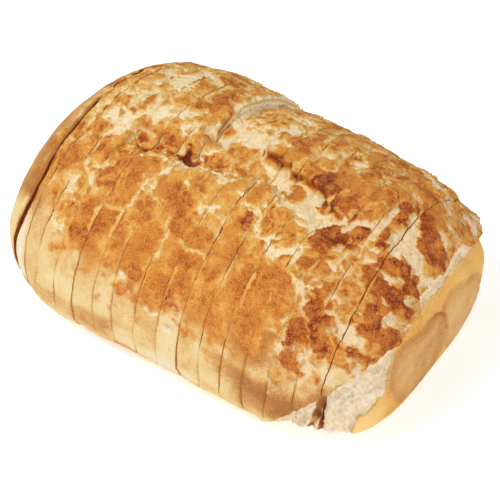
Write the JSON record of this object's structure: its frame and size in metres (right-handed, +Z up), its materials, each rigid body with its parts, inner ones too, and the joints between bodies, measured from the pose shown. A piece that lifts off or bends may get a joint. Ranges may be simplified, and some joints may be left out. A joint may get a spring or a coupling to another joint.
{
  "type": "sliced crackle-crust tin loaf",
  "caption": "Whole sliced white tin loaf, unbagged, with a cracked, mottled golden-brown top crust, pale smooth sides and a torn cream edge at one end.",
  "frame": {"origin": "near the middle of the loaf's length on the flat base, on the line that the top's middle stands over", "axes": "+X along the loaf's length, towards the heel with the torn edge; -Y the front side; +Z up"},
  "size_m": [0.2309, 0.192, 0.0907],
  "materials": {
    "crust": "matt"
  },
  "bodies": {
    "root": {"heel_left": "crust", "slice_02": "crust", "slice_03": "crust", "slice_04": "crust", "slice_05": "crust", "slice_06": "crust", "slice_07": "crust", "slice_08": "crust", "slice_09": "crust", "slice_10": "crust", "slice_11": "crust", "slice_12": "crust", "slice_13": "crust", "slice_14": "crust", "slice_15": "crust", "slice_16": "crust", "heel_right": "crust"}
  },
  "joints": []
}
